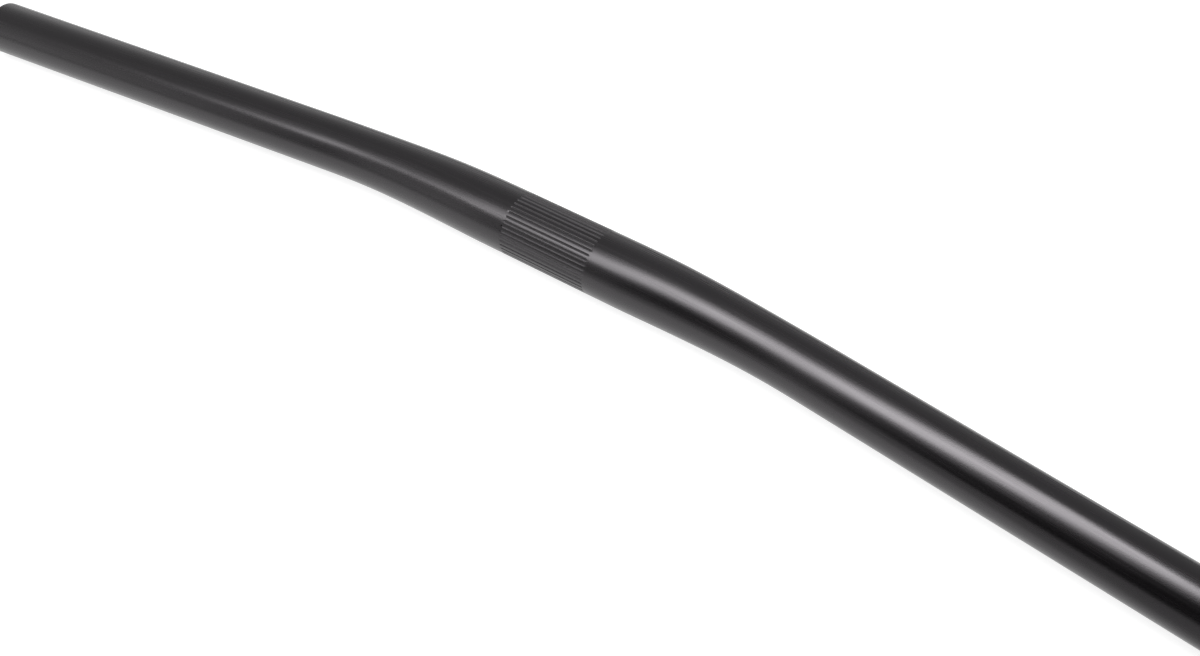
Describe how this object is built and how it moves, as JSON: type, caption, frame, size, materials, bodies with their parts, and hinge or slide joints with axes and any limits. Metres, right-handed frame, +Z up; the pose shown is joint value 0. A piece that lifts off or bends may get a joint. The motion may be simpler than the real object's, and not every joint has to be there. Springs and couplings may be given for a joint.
{
  "type": "flat bicycle handlebar",
  "caption": "Flat bicycle handlebar: a hollow aluminium tube with a knurled clamp zone and slim, slightly swept arms ending in plain grips.",
  "frame": {"origin": "middle of the clamp zone, on the centreline of the tube", "axes": "+X along the clamp zone, -Y the way the arms sweep back, +Z up from the surface that the bar lies on"},
  "size_m": [0.58, 0.0479, 0.0254],
  "materials": {
    "satin_black_tube": "satin black anodised"
  },
  "bodies": {
    "root": {"handlebar": "satin_black_tube"}
  },
  "joints": []
}
